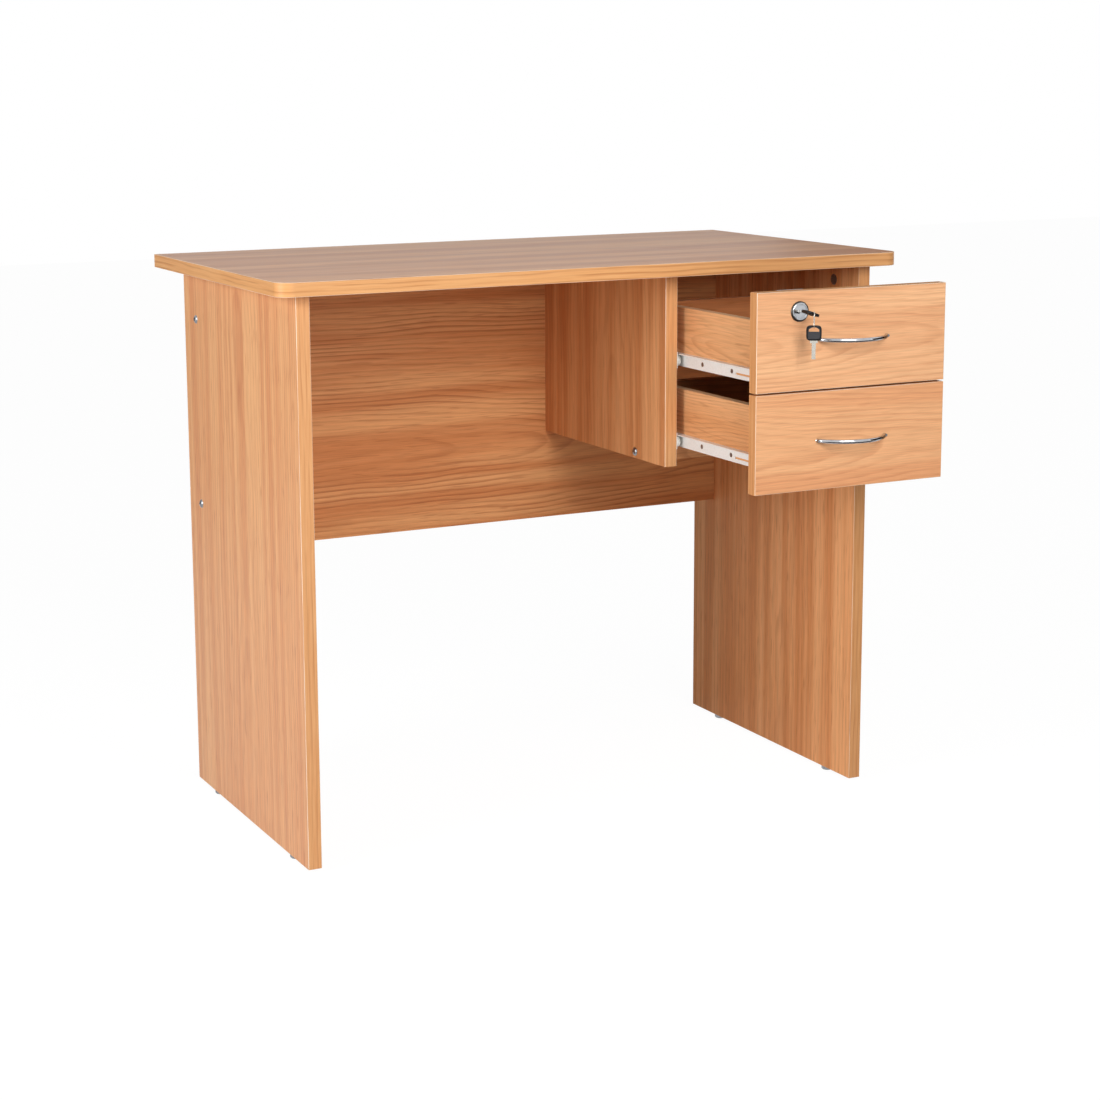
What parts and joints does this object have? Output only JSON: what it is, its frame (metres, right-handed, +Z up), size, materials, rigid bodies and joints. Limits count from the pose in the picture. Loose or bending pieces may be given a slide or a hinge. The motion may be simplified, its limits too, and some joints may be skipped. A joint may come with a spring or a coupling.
{
  "type": "study desk",
  "caption": "Beech-finish study desk with a drawer pedestal at the right, chrome bow handles, a lock with keys and a modesty panel.",
  "frame": {"origin": "on the floor, under the middle of the whole desk as pictured, with both drawers open", "axes": "+X to the right as seen by the sitter, +Y to the back of the desk, +Z up"},
  "size_m": [0.895, 0.6994, 0.75],
  "materials": {
    "board_wood": "beech-print melamine, satin",
    "edge_band": "printed PVC edge band, satin",
    "hardboard": "thin hardboard with a brown face",
    "runner_paint": "white epoxy powder coat",
    "roller_nylon": "white moulded nylon",
    "screw_steel": "zinc-plated steel",
    "cam_zinc": "die-cast zinc",
    "dowel_wood": "fluted beech dowel",
    "glide_steel": "nickel-plated steel",
    "strike_steel": "zinc-plated sheet steel",
    "handle_chrome": "bright chrome plate",
    "key_plastic": "black moulded plastic",
    "key_steel": "nickel-plated steel"
  },
  "bodies": {
    "carcass": {"desk_top": "board_wood", "left_side_panel": "board_wood", "right_side_panel": "board_wood", "modesty_panel": "board_wood", "divider_panel": "board_wood", "drawer_rail": "board_wood", "desk_top_edge_band": "edge_band", "left_panel_edge_band": "edge_band", "right_panel_edge_band": "edge_band", "divider_edge_band": "edge_band", "panel_screws": "screw_steel", "carcass_wood_screws": "screw_steel", "cam_bolts": "screw_steel", "cam_locks": "cam_zinc", "wood_dowels": "dowel_wood", "floor_glides": "glide_steel", "lock_strike_plate": "strike_steel", "upper_left_cabinet_runner": "runner_paint", "upper_right_cabinet_runner": "runner_paint", "lower_left_cabinet_runner": "runner_paint", "lower_right_cabinet_runner": "runner_paint"},
    "upper_drawer": {"upper_drawer_front": "board_wood", "upper_front_edge_band": "edge_band", "upper_drawer_left_side": "board_wood", "upper_drawer_right_side": "board_wood", "upper_drawer_back": "board_wood", "upper_drawer_bottom": "hardboard", "upper_left_drawer_runner": "runner_paint", "upper_right_drawer_runner": "runner_paint", "upper_drawer_wood_screws": "screw_steel", "upper_drawer_dowels": "dowel_wood", "upper_handle": "handle_chrome", "upper_handle_screws": "screw_steel", "lock_case": "cam_zinc", "lock_bezel": "handle_chrome"},
    "upper_cabinet_rollers": {"upper_cabinet_rollers": "roller_nylon"},
    "upper_drawer_rollers": {"upper_drawer_rollers": "roller_nylon"},
    "lower_drawer": {"lower_drawer_front": "board_wood", "lower_front_edge_band": "edge_band", "lower_drawer_left_side": "board_wood", "lower_drawer_right_side": "board_wood", "lower_drawer_back": "board_wood", "lower_drawer_bottom": "hardboard", "lower_left_drawer_runner": "runner_paint", "lower_right_drawer_runner": "runner_paint", "lower_drawer_wood_screws": "screw_steel", "lower_drawer_dowels": "dowel_wood", "lower_handle": "handle_chrome", "lower_handle_screws": "screw_steel"},
    "lower_cabinet_rollers": {"lower_cabinet_rollers": "roller_nylon"},
    "lower_drawer_rollers": {"lower_drawer_rollers": "roller_nylon"},
    "lock_key": {"lock_plug": "handle_chrome", "key_blade": "key_steel", "key_head": "key_plastic"},
    "lock_bolt": {"lock_bolt": "cam_zinc"},
    "key_ring": {"key_ring": "key_steel"},
    "spare_key": {"spare_key_blade": "key_steel", "spare_key_head": "key_plastic"}
  },
  "joints": [
    {"name": "upper_drawer_slide", "type": "slide", "parent": "carcass", "child": "upper_drawer", "axis": [0, -1, 0], "range_m": [-0.203, 0.022]},
    {"name": "upper_cabinet_roller_spin", "type": "hinge", "parent": "carcass", "child": "upper_cabinet_rollers", "pos_m": [0.25475, -0.07926, 0.6151], "axis": [1, 0, 0], "continuous": true},
    {"name": "upper_drawer_roller_spin", "type": "hinge", "parent": "upper_drawer", "child": "upper_drawer_rollers", "pos_m": [0.25475, -0.00726, 0.6151], "axis": [1, 0, 0], "continuous": true},
    {"name": "lower_drawer_slide", "type": "slide", "parent": "carcass", "child": "lower_drawer", "axis": [0, -1, 0], "range_m": [-0.203, 0.022]},
    {"name": "lower_cabinet_roller_spin", "type": "hinge", "parent": "carcass", "child": "lower_cabinet_rollers", "pos_m": [0.25475, -0.07926, 0.5061], "axis": [1, 0, 0], "continuous": true},
    {"name": "lower_drawer_roller_spin", "type": "hinge", "parent": "lower_drawer", "child": "lower_drawer_rollers", "pos_m": [0.25475, -0.00726, 0.5061], "axis": [1, 0, 0], "continuous": true},
    {"name": "key_turn", "type": "hinge", "parent": "upper_drawer", "child": "lock_key", "pos_m": [0.1746, -0.31126, 0.6992], "axis": [0, -1, 0], "range_deg": [0, 90]},
    {"name": "lock_bolt_slide", "type": "slide", "parent": "upper_drawer", "child": "lock_bolt", "axis": [0, 0, 1], "range_m": [0, 0.012]},
    {"name": "key_ring_hang", "type": "hinge", "parent": "lock_key", "child": "key_ring", "pos_m": [0.1759, -0.34386, 0.7005], "axis": [0, -1, 0], "range_deg": [-90, 0]},
    {"name": "spare_key_swing", "type": "hinge", "parent": "key_ring", "child": "spare_key", "pos_m": [0.1746, -0.34386, 0.6816], "axis": [-0.5, -0.866, 0], "range_deg": [-30, 30]}
  ],
  "couplings": [
    {"joint": "upper_cabinet_roller_spin", "follows": "upper_drawer_slide", "rad_per_m": 125},
    {"joint": "upper_drawer_roller_spin", "follows": "upper_drawer_slide", "rad_per_m": 125},
    {"joint": "lower_cabinet_roller_spin", "follows": "lower_drawer_slide", "rad_per_m": 125},
    {"joint": "lower_drawer_roller_spin", "follows": "lower_drawer_slide", "rad_per_m": 125},
    {"joint": "lock_bolt_slide", "follows": "key_turn", "m_per_rad": 0.0076394},
    {"joint": "key_ring_hang", "follows": "key_turn", "ratio": -1}
  ]
}
